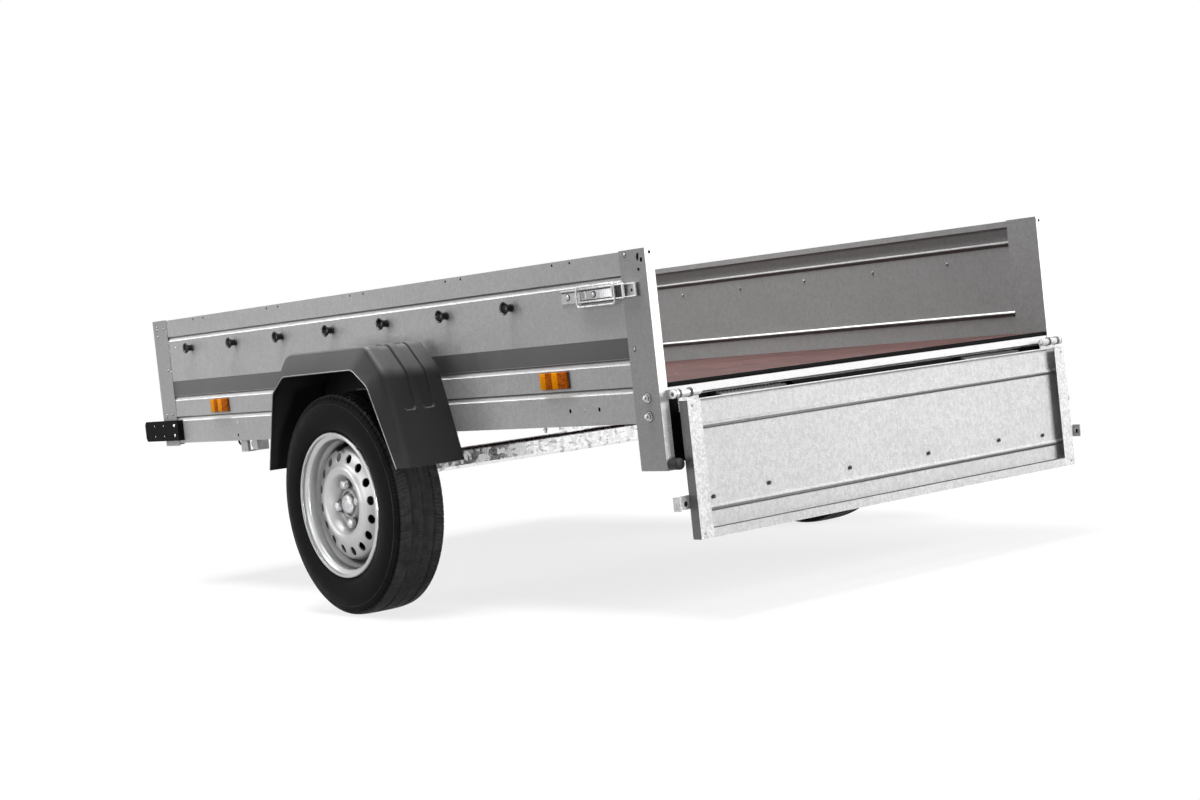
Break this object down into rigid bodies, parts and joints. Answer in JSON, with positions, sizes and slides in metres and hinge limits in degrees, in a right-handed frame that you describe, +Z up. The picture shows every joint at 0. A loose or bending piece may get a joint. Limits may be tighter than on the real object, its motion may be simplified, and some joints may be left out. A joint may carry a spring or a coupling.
{
  "type": "utility trailer",
  "caption": "Single-axle utility trailer with a ribbed steel box, plywood floor, a hinged tailgate hanging open, angular mudguards, a ball coupling and a jockey wheel.",
  "frame": {"origin": "on the ground below the middle of the bounding box, with the hanging tailgate and the coupling as its ends", "axes": "+X towards the coupling, +Y to the trailer's left side, +Z up; the ground is at Z = 0"},
  "size_m": [3.445, 1.752, 0.817],
  "materials": {
    "galvanised": "galvanised sheet, satin",
    "frame_steel": "hot-dip galvanised, dull",
    "coupling_steel": "zinc grey",
    "plywood": "film-faced plywood, reddish brown",
    "guard_plastic": "grained, dark grey",
    "black_metal": "satin black",
    "amber": "amber reflector",
    "lamp": "red lens",
    "rubber": "matt black",
    "tyre": "matt black",
    "rim_paint": "silver grey",
    "hub_steel": "zinc plated",
    "knob_plastic": "black, slightly glossy",
    "grip": "matt black"
  },
  "bodies": {
    "chassis": {"floor_panel": "plywood", "side_wall_left": "galvanised", "side_wall_right": "galvanised", "front_wall": "galvanised", "post_front_left": "galvanised", "post_front_right": "galvanised", "post_rear_left": "galvanised", "post_rear_right": "galvanised", "frame_rails": "frame_steel", "cross_members": "frame_steel", "rear_sill": "galvanised", "rear_beam": "frame_steel", "drawbar": "frame_steel", "coupling_head": "coupling_steel", "coupling_lever": "coupling_steel", "jockey_clamp": "frame_steel", "jockey_outer_tube": "frame_steel", "jockey_crank": "frame_steel", "plug_holder": "guard_plastic", "axle_tube": "frame_steel", "trailing_arm_left": "frame_steel", "trailing_arm_right": "frame_steel", "mudguard_left": "guard_plastic", "mudguard_right": "guard_plastic", "mudguard_brackets": "frame_steel", "side_knobs": "knob_plastic", "front_knobs": "knob_plastic", "side_reflectors": "amber", "latch_left": "hub_steel", "latch_right": "hub_steel", "lamp_brackets": "black_metal", "rear_lamp_left": "lamp", "rear_lamp_right": "lamp", "plate_holder": "black_metal", "post_buffers": "rubber", "hinge_ears": "frame_steel"},
    "tailgate": {"tailgate_panel": "galvanised", "tailgate_channels": "galvanised", "tailgate_leaves": "frame_steel", "tailgate_catches": "frame_steel", "tailgate_knobs": "knob_plastic"},
    "wheel_left": {"hub_left": "hub_steel", "rim_left": "rim_paint", "tyre_left": "tyre"},
    "wheel_right": {"hub_right": "hub_steel", "rim_right": "rim_paint", "tyre_right": "tyre"},
    "jockey_leg": {"jockey_inner_tube": "frame_steel"},
    "jockey_castor": {"jockey_fork": "frame_steel"},
    "jockey_roller": {"jockey_wheel": "rubber"}
  },
  "joints": [
    {"name": "wheel_left", "type": "hinge", "parent": "chassis", "child": "wheel_left", "pos_m": [-0.6125, 0.79, 0.2805], "axis": [0, 1, 0], "continuous": true},
    {"name": "wheel_right", "type": "hinge", "parent": "chassis", "child": "wheel_right", "pos_m": [-0.6125, -0.79, 0.2805], "axis": [0, 1, 0], "continuous": true},
    {"name": "tailgate", "type": "hinge", "parent": "chassis", "child": "tailgate", "pos_m": [-1.6985, 0, 0.4965], "axis": [0, 1, 0], "range_deg": [0, 180]},
    {"name": "jockey_slide", "type": "slide", "parent": "chassis", "child": "jockey_leg", "axis": [0, 0, 1], "range_m": [0, 0.135]},
    {"name": "jockey_swivel", "type": "hinge", "parent": "jockey_leg", "child": "jockey_castor", "pos_m": [0.9475, -0.076, 0.237], "axis": [0, 0, 1], "continuous": true},
    {"name": "jockey_wheel", "type": "hinge", "parent": "jockey_castor", "child": "jockey_roller", "pos_m": [0.9095, -0.076, 0.1], "axis": [0, 1, 0], "continuous": true}
  ]
}
